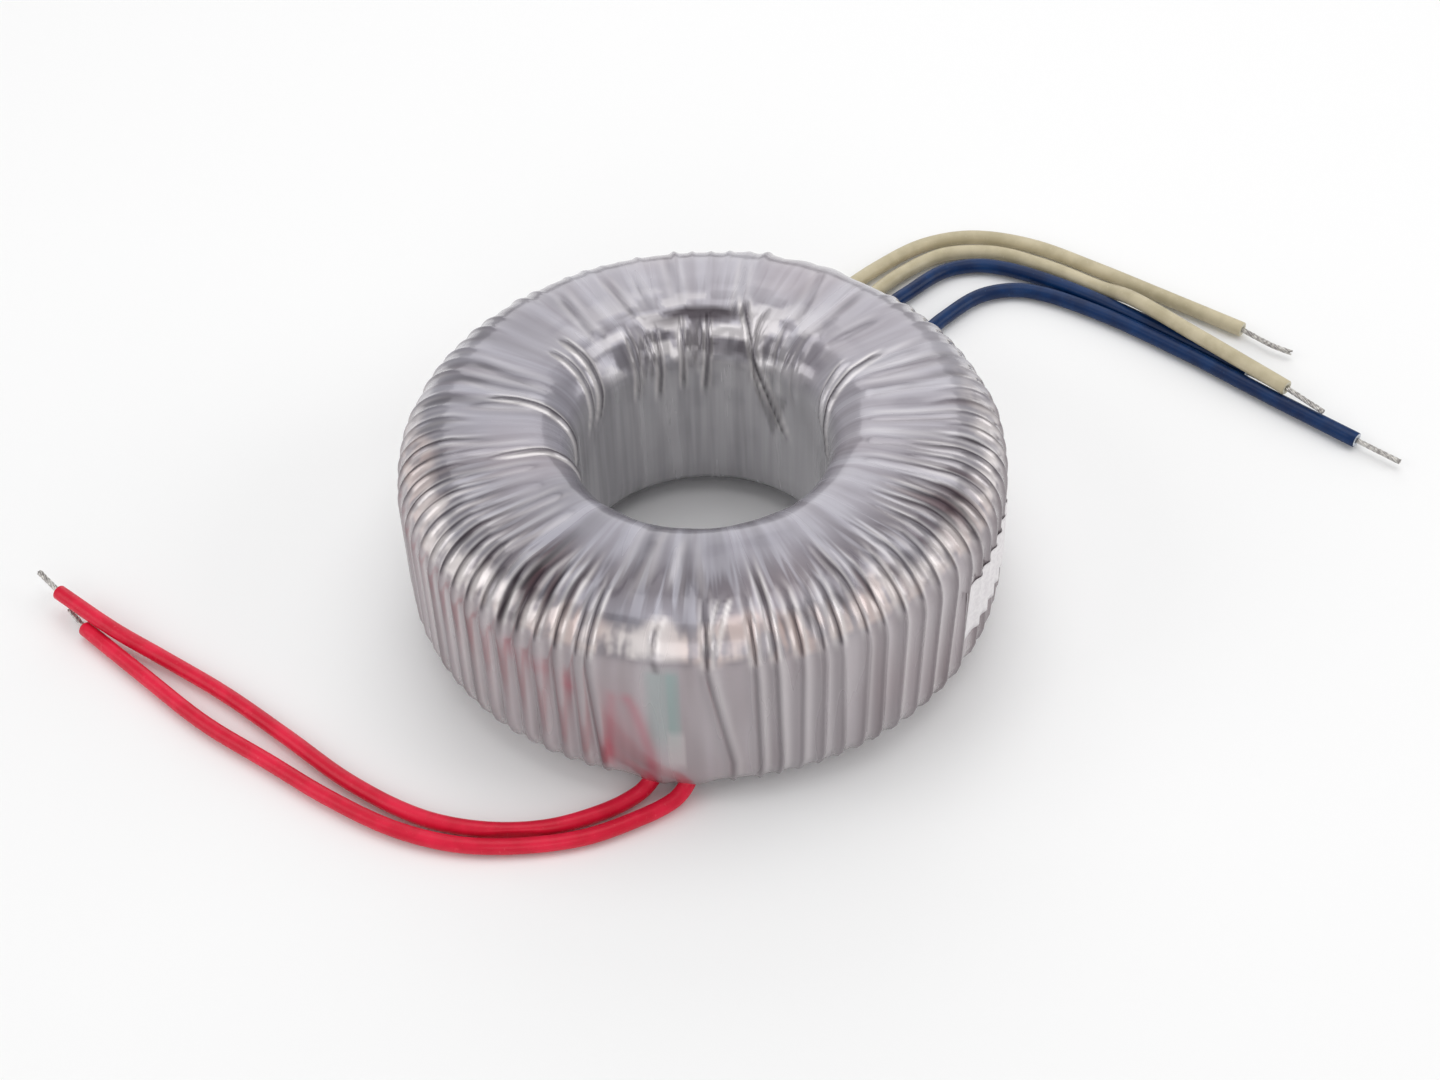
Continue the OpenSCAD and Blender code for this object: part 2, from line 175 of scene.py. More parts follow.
# plastics, metals and tapes: noise scales are per metre, bump distances in metres
def insulation(name, colour, dark, pale, cut):
    s = Shade(name)
    patches = s.noise(260, 4)
    scuffs = s.noise(2400, 2, at=s.stretch(1, 1, 0.4))
    body = s.mix(s.fade(patches, 0.35, 0.7), dark, colour)
    body = s.mix(s.fade(scuffs, 0.62, 0.8) * 0.35, body, pale)
    body = s.mix(s.attribute("cutFace"), body, cut)
    return s.finish(Base_Color=body, Roughness=0.3 + patches * 0.16, Coat_Weight=0.1, Coat_Roughness=0.12,
                    Specular_IOR_Level=0.22, Normal=s.bump(s.noise(3600, 3), 0.12, 0.00006))


def tinnedWire(name, colour, dull):
    s = Shade(name)
    tone = s.noise(1800, 4)
    return s.finish(Base_Color=s.mix(s.fade(tone, 0.35, 0.65), dull, colour), Metallic=1.0,
                    Roughness=0.24 + tone * 0.25, Normal=s.bump(s.noise(5200, 2), 0.25, 0.00003))


def enamelledCopper(name, colour, deep):
    s = Shade(name)
    tone = s.noise(420, 4)
    return s.finish(Base_Color=s.mix(s.fade(tone, 0.3, 0.7), deep, colour), Metallic=0.85,
                    Roughness=0.22 + tone * 0.2, Coat_Weight=0.6, Coat_Roughness=0.1,
                    Normal=s.bump(s.noise(2600, 2), 0.1, 0.00005))


def tape(name, colour, shade):
    s = Shade(name)
    tone = s.noise(300, 4)
    lines = s.noise(900, 2, at=s.stretch(0.3, 0.3, 3))
    return s.finish(Base_Color=s.mix(s.fade(tone, 0.3, 0.7), shade, colour), Roughness=0.28 + lines * 0.2,
                    Normal=s.bump(lines, 0.2, 0.0001), Coat_Weight=0.3, Coat_Roughness=0.15)


def steelStrip(name, colour, dark):
    s = Shade(name)
    grain = s.noise(1500, 4, at=s.stretch(1, 1, 0.15))
    return s.finish(Base_Color=s.mix(s.fade(grain, 0.3, 0.7), dark, colour), Metallic=1.0,
                    Roughness=0.35 + grain * 0.2, Normal=s.bump(grain, 0.2, 0.00008))


leadMaterials = {  # each with its colour, darker patches, pale scuffs and cut end; the navy's pale cut end is a painted highlight
    "red_insulation": insulation("redPlastic", (0.78, 0.014, 0.055), (0.62, 0.007, 0.034),
                                 (0.85, 0.12, 0.15), (0.66, 0.04, 0.06)),
    "cream_insulation": insulation("creamPlastic", (0.59, 0.52, 0.36), (0.47, 0.41, 0.27),
                                   (0.70, 0.65, 0.50), (0.62, 0.58, 0.44)),
    # navy: its pale cut end is a painted highlight on the rim of the open tube
    "blue_insulation": insulation("navyPlastic", (0.001, 0.029, 0.115), (0.001, 0.015, 0.068),
                                  (0.03, 0.10, 0.26), (0.62, 0.66, 0.72)),
}
tinned = tinnedWire("tinned", (0.66, 0.64, 0.61), (0.33, 0.31, 0.30))
print("plain materials made")

# leads: widths and routes in millimetres, from inside the film to the cut end, then the bare wire's ends
leads = {
    "redLead1": {
        "node": "red_lead_1", "tipNode": "red_tip_1", "slot": "red_insulation", "width": 2.1,
        "route": [(-6.5, -36, 10), (-6.5, -36, 5), (-7.5, -36.8, 2.2), (-9.5, -38.5, 1.1), (-14, -41.2, 1.1),
                  (-21, -43.3, 1.1), (-29, -43.2, 1.1), (-37, -40.8, 1.1), (-46, -35, 1.1), (-55, -27, 1.1),
                  (-64, -19.2, 1.1), (-73, -12.6, 1.3), (-80, -8.2, 2.4), (-88.5, -1.5, 3.2)],
        "ends": [(-92, 2.5, 3.4)]},
    "redLead2": {
        "node": "red_lead_2", "tipNode": "red_tip_2", "slot": "red_insulation", "width": 2.1,
        "route": [(-2.5, -36.5, 10), (-2.5, -36.5, 5), (-3.1, -37.7, 2.2), (-5, -39.7, 1.1),
                  (-9.5, -42.4, 1.1), (-16, -45, 1.1), (-24, -46, 1.1), (-32, -45.4, 1.1),
                  (-40, -42.6, 1.1), (-48.5, -37.4, 1.1), (-57, -31, 1.1), (-66, -24.2, 1.1),
                  (-75, -15.7, 1.1), (-84.5, -6.5, 1.1)],
        "ends": [(-87.4, -2.6, 1.1)]},
    "creamLead1": {
        "node": "cream_lead_1", "tipNode": "cream_tip_1", "slot": "cream_insulation", "width": 2.25,
        "route": [(74.5, 11), (74.5, 5.6), (10.8, 39, 2.4), (11.6, 42, 1.9), (13.4, 47, 3.8), (17, 53.5, 1.8),
                  (22, 59.6, 1.2), (28.5, 65.7, 1.2), (36, 70.9, 1.2), (44, 72.5, 1.2), (53, 69.8, 1.2),
                  (62, 63.6, 1.2), (72, 55.8, 1.2), (82.5, 47.5, 1.2)],
        "ends": [(86.2, 43.6, 1.2), (89, 41.6, 1.2)]},
    "creamLead2": {
        "node": "cream_lead_2", "tipNode": "cream_tip_2", "slot": "cream_insulation", "width": 2.25,
        "route": [(66, 11), (66, 5.6), (16.5, 37, 2.4), (18, 40.5, 1.2), (20.4, 46, 2.2), (23, 51.5, 3.9),
                  (26, 57, 1.9), (31.5, 63.5, 1.2), (39, 68.3, 1.2), (47, 68.3, 1.2), (55, 64.2, 1.2),
                  (62.3, 58.6, 1.3), (66.3, 53.2, 3.4), (74, 44.4, 3.6), (85.8, 31.6, 3.2)],
        "ends": [(90.4, 25.9, 3)]},
    "blueLead1": {
        "node": "blue_lead_1", "tipNode": "blue_tip_1", "slot": "blue_insulation", "width": 2.25,
        "route": [(78.59, 11), (78.59, 5.6), (8.1, 39.9, 2.4), (9, 43, 1.2), (12.6, 46.6, 1.2),
                  (19, 49.6, 1.2), (25.5, 52.8, 1.2), (32, 58.6, 1.2), (39, 64.3, 1.2), (46, 65, 1.2),
                  (56, 59.9, 1.2), (68.7, 49.6, 1.2), (81.5, 37.7, 1.2)],
        "ends": [(85.2, 34, 1.2)]},
    "blueLead2": {
        "node": "blue_lead_2", "tipNode": "blue_tip_2", "slot": "blue_insulation", "width": 2.25,
        "route": [(60.5, 11), (60.5, 5.6), (19.9, 35.3, 2.4), (21.6, 38.4, 1.2), (26, 42.2, 1.2),
                  (32, 46.6, 1.2), (37.5, 52.6, 1.2), (44, 57.9, 1.2), (51, 58.6, 1.2), (61, 52.9, 1.2),
                  (73, 42.6, 1.2), (84, 31.8, 1.2), (94.3, 22, 1.2)],
        "ends": [(99.8, 16.8, 1.2)]},
}
leadShape = {
    "dropRadius": 39.145,  # where the secondary leads come down, from the ring's axis
    "sides": 24, "steps": 10,
    # steps along the lead from its end, each with the share of its radius there
    "cutEnd": [(-0.12, 1.0), (-0.03, 0.95), (0.0, 0.85), (0.0, 0.42), (-0.35, 0.40)],
    "tipInside": 0.35, "firstSeed": 20,
}
strand = {"count": 6, "width": 0.29, "spread": 0.25, "pitch": 5.2, "sides": 8, "steps": 14, "ragged": 0.06,
          "flare": 0.25}


def routeMetres(points):
    out = []
    for p in points:
        if len(p) == 2:  # an angle round the ring and a height
            a = math.radians(p[0])
            p = (leadShape["dropRadius"] * math.cos(a), leadShape["dropRadius"] * math.sin(a), p[1])
        out.append(Vector(p) * mm)
    return out


def smoothPath(points, steps):  # a smooth curve through every point
    p = [2 * points[0] - points[1]] + points + [2 * points[-1] - points[-2]]
    line = []
    for i in range(1, len(p) - 2):
        chord = (p[i + 1] - p[i]).length
        before = max((p[i] - p[i - 1]).length, 1e-6)
        after = max((p[i + 2] - p[i + 1]).length, 1e-6)
        m0 = chord * (p[i + 1] - p[i - 1]) / (chord + before)
        m1 = chord * (p[i + 2] - p[i]) / (chord + after)
        for k in range(steps):
            t = k / steps
            line.append((2 * t**3 - 3 * t**2 + 1) * p[i] + (t**3 - 2 * t**2 + t) * m0
                        + (3 * t**2 - 2 * t**3) * p[i + 1] + (t**3 - t**2) * m1)
    return line + [points[-1].copy()]


def frames(line):  # side vectors carried along without twist
    side, out = Vector((1, 0, 0)), []
    for i, p in enumerate(line):
        t = (line[min(i + 1, len(line) - 1)] - line[max(i - 1, 0)]).normalized()
        side = (side - side.dot(t) * t).normalized()
        out.append((p, t, side, t.cross(side)))
    return out


def ringVerts(rings, sides):  # each ring is its centre, radius and two side vectors
    turns = [2 * math.pi * k / sides for k in range(sides)]
    return [p + r * (math.cos(w) * a + math.sin(w) * b) for p, r, a, b in rings for w in turns]


def ringFaces(count, sides):  # the skin between the rings, and a cap at either end
    faces = []
    for i in range(count - 1):
        for k in range(sides):
            m = (k + 1) % sides
            faces.append((i * sides + k, i * sides + m, (i + 1) * sides + m, (i + 1) * sides + k))
    faces.append(tuple(range(sides - 1, -1, -1)))
    faces.append(tuple((count - 1) * sides + k for k in range(sides)))
    return faces


def walkAlong(line):  # the length up to each point
    walk = [0.0]
    for a, b in zip(line, line[1:]):
        walk.append(walk[-1] + (b - a).length)
    return walk


def strandBundle(name, points, seed):
    rng = np.random.RandomState(seed)
    line = smoothPath(points, strand["steps"])
    walk = walkAlong(line)
    verts, faces = [], []
    base = frames(line)
    for k in range(strand["count"] + 1):  # the last one is straight, in the middle
        cut = 1.0 - strand["ragged"] * rng.rand()
        run = []
        for (p, _, a, b), s in zip(base, walk):
            if s > walk[-1] * cut:
                break
            w = 2 * math.pi * (k / strand["count"] + s / (strand["pitch"] * mm))
            flare = 1 + strand["flare"] * (s / walk[-1])**4 * rng.rand()
            r = 0 if k == strand["count"] else strand["spread"] * mm * flare
            run.append(p + r * (math.cos(w) * a + math.sin(w) * b))
        rings = [(p, strand["width"] / 2 * mm, a, b) for p, _, a, b in frames(run)]
        faces += [tuple(len(verts) + i for i in face) for face in ringFaces(len(rings), strand["sides"])]
        verts += ringVerts(rings, strand["sides"])
    return addMesh(name, verts, faces, tinned)


def leadTube(name, line, r, material, node):
    base = frames(line)
    tail, t, a, b = base[-1]
    rings = [(p, r, u, v) for p, _, u, v in base[:-1]]
    rings += [(tail + step * mm * t, share * r, a, b) for step, share in leadShape["cutEnd"]]
    sides = leadShape["sides"]
    verts = ringVerts(rings, sides)
    low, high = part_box(node)
    verts = [Vector(min(max(c, a), b) for c, a, b in zip(v, low, high)) for v in verts]
    made = addMesh(name, verts, ringFaces(len(rings), sides), material)
    pointLayer(made, "cutFace", [float(i >= len(verts) - 3 * sides) for i in range(len(verts))])
    return made


for index, (name, lead) in enumerate(leads.items()):
    route = routeMetres(lead["route"])
    path = smoothPath(route, leadShape["steps"])
    length = walkAlong(path)[-1]
    cord = leadTube(name, path, lead["width"] / 2 * mm, leadMaterials[lead["slot"]], lead["node"])
    inside = path[-1] - leadShape["tipInside"] * mm * (path[-1] - path[-2]).normalized()
    tip = strandBundle(name.replace("Lead", "Strands"), [inside] + routeMetres(lead["ends"]),
                       leadShape["firstSeed"] + index)
    for piece, node in ((cord, lead["node"]), (tip, lead["tipNode"])):
        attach(piece, "root")
        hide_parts(node)
    print(name, "length", round(length / mm, 1), "mm")

# film wrap: millimetres and degrees, angles counter-clockwise from the +X side
film = {
    "hole": 16.7, "wall": 39.5, "top": 29.6, "holeCorner": 6.0, "outerCorner": 8.0, "pleat": 0.5,
    "columns": 1210, "reliefLimits": (-0.3, 0.49), "ceiling": 29.98, "seed": 7,
    # rows of points in each stretch of the section, in the order in which it is walked
    "rows": {"hole": 14, "rim": 15, "top": 14, "shoulder": 15, "wall": 9, "foot": 7, "underside": 3,
             "lowerRim": 4},
    # turns of wire under it: from the rear round to the front left, then the front, then the right side
    "pitch": 4.09, "rearFirst": 74.5, "rearCount": 43, "rightFirst": -29.4, "rightCount": 19,
    # front turns by their angle at the shoulder and at the foot, the first just before the smooth patch
    "front": [(-111.6, -110.1), (-90.1, -86.0), (-81.6, -81.0), (-77.9, -77.3), (-73.2, -73.4),
              (-69.2, -69.4), (-65.8, -65.4), (-60.6, -61.2), (-57.0, -57.4), (-52.3, -53.2),
              (-47.9, -49.0), (-43.2, -44.6), (-38.2, -40.2), (-33.4, -35.6)],
}
rng = np.random.RandomState(film["seed"])
turns = [(film["rearFirst"] + film["pitch"] * i,) * 2 for i in range(film["rearCount"])] + film["front"]
turns += [(film["rightFirst"] + film["pitch"] * i,) * 2 for i in range(film["rightCount"])]


def sectionRows(f):  # radius, height, outward direction, stretch, share of it passed, and millimetres walked
    inner, corner = f["hole"] + f["holeCorner"], f["holeCorner"]
    outer, low = f["wall"] + f["pleat"] - f["outerCorner"], f["outerCorner"]
    high, bend = f["top"] - f["outerCorner"] + f["pleat"], f["outerCorner"] - f["pleat"]

    def arc(centre, level, r, degrees):
        a = math.radians(degrees)
        return centre + r * math.cos(a), level + r * math.sin(a), degrees

    def footArc(t):  # starts flush with the wall and ends flush with the underside
        return arc(outer, low, f["outerCorner"] - f["pleat"] * (1 + math.sin(math.radians(-90 * t))), -90 * t)

    shapes = {
        "hole": lambda t: (f["hole"], corner + t * (f["top"] - 2 * corner), 180),
        "rim": lambda t: arc(inner, f["top"] - corner, corner, 180 - 90 * t),
        "top": lambda t: (inner + t * (outer - inner), f["top"], 90),
        "shoulder": lambda t: arc(outer, high, bend, 90 - 90 * t),
        "wall": lambda t: (f["wall"], high + t * (low - high), 0),
        "foot": footArc,
        "underside": lambda t: (outer + t * (inner - outer), 0, -90),
        "lowerRim": lambda t: arc(inner, corner, corner, -90 - 90 * t),
    }
    rows = [(*shapes[kind](i / n), number, i / n)
            for number, (kind, n) in enumerate(f["rows"].items()) for i in range(n)]
    distances = [0.0]
    for a, b in zip(rows, rows[1:]):
        distances.append(distances[-1] + math.dist(a[:2], b[:2]))
    return np.array([(*row, s) for row, s in zip(rows, distances)])


rows = sectionRows(film)
angles = np.arange(film["columns"]) * 360.0 / film["columns"]
around, radius = np.meshgrid(angles, rows[:, 0], indexing="ij")
height, facing, number, passed, walked = (np.broadcast_to(rows[:, i], around.shape) for i in range(1, 6))
roundShare, rowShare = around / 360.0, np.broadcast_to(np.arange(len(rows)) / len(rows), around.shape)
on = {kind: number == i for i, kind in enumerate(film["rows"])}
outside = on["shoulder"] | on["wall"] | on["foot"]
rimAt, topAt, shoulderAt, wallAt, footAt = (float(rows[rows[:, 3] == i, 5][0]) for i in (1, 2, 3, 4, 5))


def softNoise(cellsRound, cellsAlong, seed, u=roundShare, v=rowShare):  # smooth, and closed round the ring
    grid = np.random.RandomState(seed).rand(cellsAlong + 2, cellsRound) * 2 - 1
    x, y = u * cellsRound, np.clip(v, 0, 1) * cellsAlong
    i, j = np.floor(x).astype(int), np.floor(y).astype(int)
    fx, fy = x - i, y - j
    fx, fy = fx * fx * (3 - 2 * fx), fy * fy * (3 - 2 * fy)
    i0, i1 = i % cellsRound, (i + 1) % cellsRound
    return ((grid[j, i0] * (1 - fx) + grid[j, i1] * fx) * (1 - fy)
            + (grid[j + 1, i0] * (1 - fx) + grid[j + 1, i1] * fx) * fy)


def hump(x, half):  # 1 in the middle, 0 from half onwards
    return np.where(np.abs(x) >= half, 0.0, (1 + np.cos(np.pi * np.clip(x / half, -1, 1))) / 2)


def ease(x, low, high):  # from 0 at low to 1 at high
    t = np.clip((x - low) / (high - low), 0, 1)
    return t * t * (3 - 2 * t)


def bell(x, wide):
    return np.exp(-(x / wide)**2)


def apart(a, b):  # shortest way round from b to a, in degrees
    return (a - b + 180) % 360 - 180


def beside(line):  # millimetres from a line given as millimetres walked and angle
    at = np.interp(walked, [p[0] for p in line], [p[1] for p in line])
    return np.radians(apart(around, at)) * radius


layers = {name: np.zeros_like(around) for name in ("relief", "dark", "paintedHighlight", "gap")}


def lay(name, values):  # the stronger of what is there and what comes
    layers[name] = np.maximum(layers[name], values)


creaseShape = {"swell": 1.6, "lightAt": 2.1, "farLight": 0.7}  # in widths of its painted shade line, and a share


def crease(line, width, rise, darkness, highlightStrength, fadeIn, fadeOut):  # a ridge, with a painted shade line along it and painted highlights beside it
    across, lightAt = beside(line), creaseShape["lightAt"] * width
    first, last = line[0][0], line[-1][0]
    window = ease(walked, first, first + fadeIn) * (1 - ease(walked, last - fadeOut, last))
    lay("relief", rise * window * bell(across, creaseShape["swell"] * width))
    lay("dark", darkness * window * bell(across, width))
    sideLight = bell(across - lightAt, width) + creaseShape["farLight"] * bell(across + lightAt, width)
    lay("paintedHighlight", highlightStrength * window * sideLight)


# every turn stands up as a ridge: crisp at the shoulder, soft on the wall, gone towards the hole, with a
# painted shade line and painted highlights along it
ridge = {  # millimetres and degrees; each spread is the least and the most, drawn anew for every turn
    "startSpread": (1.0, 7.0), "rearStart": 5.5, "leanSpread": (-0.25, 0.25), "straySpread": (-1.2, 1.2),
    "rearSines": (-0.25, 0.35), "straightFrom": 3, "pastFoot": 12,
    "width": 0.30, "widthSpread": (0.8, 1.15), "riseSpread": (0.75, 1.0), "fades": (12, 9),
    # line: the painted shade line over the top and shoulder, and its painted highlights
    "line": 0.29, "lineSpread": (0.8, 1.25), "lineDark": (0.8, 1.0), "lineHighlight": (0.5, 0.95),
    "rearPaler": 0.75, "lineStop": 1.5, "lineFades": (8, 2),
    # on the wall, bands of painted shade and of painted highlight beside each turn: layer, strength, distance
    # from the crest and width
    "bands": [("dark", (0.4, 0.62), -0.15, 0.42), ("dark", (0.16, 0.36), -0.8, 0.75),
              ("paintedHighlight", (0.1, 0.32), 0.8, 0.45)],
}
onWall = ease(walked, wallAt - 4, wallAt - 2) * (1 - ease(walked, footAt + 4, footAt + 10))
for upper, lower in turns:
    rear = float(ease(math.sin(math.radians(upper)), *ridge["rearSines"]))
    begin = topAt + rng.uniform(*ridge["startSpread"]) + ridge["rearStart"] * rear
    bent = upper + rng.uniform(*ridge["leanSpread"])
    overTop = [(begin, upper + rng.uniform(*ridge["straySpread"])), (shoulderAt, bent),
               (wallAt - ridge["straightFrom"], upper)]
    line = overTop + [(footAt, lower), (footAt + ridge["pastFoot"], lower)]
    strong = rng.uniform(*ridge["lineDark"]) * (1 - ridge["rearPaler"] * rear)
    crease(line, ridge["width"] * rng.uniform(*ridge["widthSpread"]),
           film["pleat"] * rng.uniform(*ridge["riseSpread"]), 0.0, 0.0, *ridge["fades"])
    crease(overTop + [(wallAt - ridge["lineStop"], upper)], ridge["line"] * rng.uniform(*ridge["lineSpread"]),
           0.0, strong, strong * rng.uniform(*ridge["lineHighlight"]), *ridge["lineFades"])
    # bands of painted shade and painted highlight on the wall
    across = beside(line)
    for name, strength, offset, width in ridge["bands"]:
        lay(name, onWall * rng.uniform(*strength) * bell(across - offset, width))

folds = {
    "rimRise": 0.42, "rimFades": (3, 4),
    # over the hole's rim: millimetres walked past its start, and the angle there; width, darkness of the
    # painted shade line, and strength of the painted highlight
    "rim": [
        ([(-3.5, 147), (1.5, 142), (6, 139.2), (9.5, 138), (13, 137)], 0.30, 0.7, 1.0),
        ([(-3.5, 154), (1, 149.5), (6, 146), (9.0, 144.6), (12.5, 143)], 0.26, 0.5, 0.9),
        ([(-4, 177), (2, 173.8), (7, 170.6), (11, 168.6), (16, 168.5)], 0.30, 0.85, 0.9),
        ([(-4, -162), (3, -164), (7, -166.4), (12, -167), (15, -168)], 0.28, 0.7, 0.9),
        ([(-5, 4), (1, 12), (5.5, 19), (8.5, 22.4), (12, 25), (15, 26.5)], 0.30, 0.9, 1.0),
        ([(-2, 15), (3, 22), (7, 26.5), (10, 29)], 0.24, 0.5, 0.8),
        ([(-10, 44), (-4, 54), (2, 63), (6, 69), (9, 73), (13, 76)], 0.36, 0.9, 1.0),
        ([(-6, 57), (0, 63), (6, 66), (12, 66.5)], 0.25, 0.6, 0.8),
        ([(-5, 88), (2, 86), (9, 86)], 0.25, 0.7, 0.9), ([(-4, 98), (3, 97), (9, 96)], 0.22, 0.6, 0.9),
        ([(-5, 110), (2, 108), (8, 107)], 0.25, 0.7, 0.9), ([(-4, 121), (3, 119), (9, 118)], 0.24, 0.5, 0.9),
    ],
    # straight over the top: angle at the rim and angle further out
    "top": [(128.8, 124.4), (110.4, 114.2), (105.4, 106), (94.7, 96.9), (75.6, 78.3), (54.4, 61.1),
            (45.8, 48), (160.3, 155.2), (165, 161.5), (169.3, 171.5), (39.5, 37.7), (21.7, 24.7),
            (18.8, 18.3), (12, 12), (-2, -1), (-12, -10.6), (-22, -20.4), (-169, -172), (-160, -163),
            (-152, -155), (-144, -147), (-136, -139), (-95.5, -92), (-106.5, -108.4), (-100, -101)],
    # for these creases: start, end and width, strength of the painted shade line and of the painted
    # highlight, rise and fades
    "topStart": (1, 4), "topEnd": (9, 15), "topWidth": (0.35, 0.7), "topDark": (0.10, 0.34),
    "topHighlight": (0.1, 0.3), "topRise": 0.2, "topFades": (4, 5),
    # over the smooth patch at the front: route, width, darkness of the painted shade line, strength of the
    # painted highlight, and fades
    "patchRise": 0.2,
    "patch": [([(topAt + 9, -85.6), (wallAt - 9, -87.5), (wallAt - 4.2, -89.7)], 0.34, 0.0, 1.0, (2, 1)),
              ([(wallAt - 9.5, -98.4), (wallAt - 6.5, -99.9), (wallAt - 4, -99.6)], 0.26, 0.45, 0.9, (2, 1)),
              ([(wallAt - 4.2, -99.9), (wallAt - 2.4, -99.2), (wallAt - 1.4, -97.8)], 0.5, 0.5, 0.0, (1, 1))],
}
for line, width, darkness, highlightStrength in folds["rim"]:
    crease([(rimAt + s, a) for s, a in line], width, folds["rimRise"], darkness, highlightStrength, *folds["rimFades"])
for inner, outer in folds["top"]:
    stop = topAt + rng.uniform(*folds["topEnd"])
    start = topAt - rng.uniform(*folds["topStart"])
    crease([(start, inner), (stop, outer)], rng.uniform(*folds["topWidth"]), folds["topRise"],
           rng.uniform(*folds["topDark"]), rng.uniform(*folds["topHighlight"]), *folds["topFades"])
for line, width, darkness, highlightStrength, fades in folds["patch"]:
    crease(line, width, folds["patchRise"], darkness, highlightStrength, *fades)

crumples = {  # short creases round the rear of the hole, each with a painted shade line and painted highlights
    "count": 16, "angle": (42, 134), "start": (-1, 3), "stray": (-7, 7), "end": (5, 10),
    "width": (0.2, 0.45), "rise": (0.1, 0.35), "dark": (0.1, 0.5), "highlightStrength": (0.2, 0.7), "fades": (2, 3),
}
for _ in range(crumples["count"]):
    a = rng.uniform(*crumples["angle"])
    start = (rimAt - rng.uniform(*crumples["start"]), a + rng.uniform(*crumples["stray"]))
    crease([start, (rimAt + rng.uniform(*crumples["end"]), a)], rng.uniform(*crumples["width"]),
           rng.uniform(*crumples["rise"]), rng.uniform(*crumples["dark"]), rng.uniform(*crumples["highlightStrength"]),
           *crumples["fades"])
print("folds laid", len(turns), "turns")

# where the film spans two turns, the hollow below is painted dark: painted shade with the copper's warm tint:
# angle, from and to in millimetres past the top's start, width and strength
spans = {
    # degrees round for a millimetre along, two shares, and millimetres
    "slant": 0.12, "outward": 0.15, "ends": 0.35, "sag": 0.25,
    "gaps": [
        (-127.4, 0, 19, 1.9, 1.0), (-130.2, 8, 20, 0.7, 1.0), (-122.4, 6, 17, 0.9, 0.9),
        (-29.8, 3, 19, 2.2, 1.0), (-25.6, 6, 18, 1.2, 0.95), (-45.6, 10, 17, 0.7, 0.8),
        (-40.6, 9, 17, 0.6, 0.7), (-57.4, 8, 16, 0.6, 0.8), (-63.2, 9, 16, 0.5, 0.7),
        (-117.6, 8, 15, 0.4, 0.6), (158, 2, 15, 1.1, 0.35), (163.5, 4, 15, 0.8, 0.4),
        (170, 5, 15, 0.9, 0.35), (148, 8, 16, 0.8, 0.25), (19, 3, 15, 0.9, 0.35), (12.5, 4, 15, 0.8, 0.4),
        (25, 4, 14, 0.8, 0.25), (3, 6, 16, 0.7, 0.4), (47, 2, 11, 0.9, 0.3), (60, 0, 10, 0.9, 0.25),
        (128, 1, 12, 0.8, 0.2), (112, 1, 11, 0.8, 0.2), (178, 6, 16, 0.8, 0.4), (-172, 7, 16, 0.7, 0.45),
        (-166, 7, 16, 0.7, 0.4), (-35.4, 8, 17, 0.7, 0.6), (-133.4, 7, 16, 0.6, 0.6),
        (-138, 8, 16, 0.6, 0.5), (-50.4, 10, 17, 0.5, 0.6), (-70.8, 10, 16, 0.4, 0.6),
        (-75.6, 10, 16, 0.35, 0.5), (-19.5, 7, 16, 0.6, 0.6), (-9, 8, 16, 0.5, 0.5),
        (-146, 8, 16, 0.5, 0.5), (-160, 8, 16, 0.5, 0.4)],
}
for angle, begin, end, width, amount in spans["gaps"]:
    middle, half = topAt + (begin + end) / 2, (end - begin) / 2
    across = np.radians(apart(around, angle + spans["slant"] * (walked - middle))) * radius
    swell = hump(walked - middle - spans["outward"] * half, half) + 1e-6
    lay("gap", amount * swell**0.5 * bell(across, width * (spans["ends"] + (1 - spans["ends"]) * swell)))
    layers["relief"] -= spans["sag"] * amount * swell * bell(across, width)

# slack at the hole's rim, most at the rear, and a soft unevenness over the top
slack = {
    "rim": 0.16, "rear": 0.30, "rearAt": 88, "rearWide": 46, "top": 0.10, "inGaps": 0.6,
    "atRim": 0.12, "atTop": 0.5, "rimFade": 0.4,  # how much of it there is at the rim's start and at its top
    "shade": 0.9, "shadeFrom": (0.18, 0.36), "shineFrom": (-0.02, 0.14), "warp": 0.006,
    "band": 0.85, "bandAt": 93, "bandWide": 17, "bandDown": 8.2, "bandWave": 0.8, "bandTall": 1.1,
}
overRim = slack["atRim"] + (1 - slack["atRim"]) * ease(passed, 0.0, slack["rimFade"])
overRim -= slack["atTop"] * passed
slackShare = np.select([on["hole"], on["rim"], on["top"]],
                       [slack["atRim"] * passed, overRim, slack["atTop"] * (1 - passed)**2], 0.0)
rearShare = np.exp(-(apart(around, slack["rearAt"]) / slack["rearWide"])**4)
onTop = ease(walked, topAt - 3, topAt + 3) * (1 - ease(walked, shoulderAt + 2, wallAt))
layers["relief"] += slackShare * slack["rim"] * softNoise(34, 20, 4)
layers["relief"] += slackShare * slack["rear"] * rearShare * softNoise(56, 34, 12)
layers["relief"] += slack["top"] * softNoise(48, 7, 5) * onTop
layers["relief"] *= 1 - slack["inGaps"] * np.clip(layers["gap"], 0, 1)
# on the crumpled rim at the rear: patches of painted shade and of painted highlight
crumple = slackShare * rearShare
patches = softNoise(44, 32, 21, u=roundShare + slack["warp"] * softNoise(40, 30, 22))
# painted shade: a dark band where the rear of the top bends down into the hole
bandEdge = walked - rimAt - slack["bandDown"] - slack["bandWave"] * softNoise(50, 3, 8)
fromBand = apart(around, slack["bandAt"]) / slack["bandWide"]
rearBand = np.exp(-fromBand**4 - (bandEdge / slack["bandTall"])**2)
lay("dark", slack["shade"] * crumple * ease(patches, *slack["shadeFrom"]) + slack["band"] * rearBand)
lay("paintedHighlight", crumple * ease(-patches, *slack["shineFrom"]))

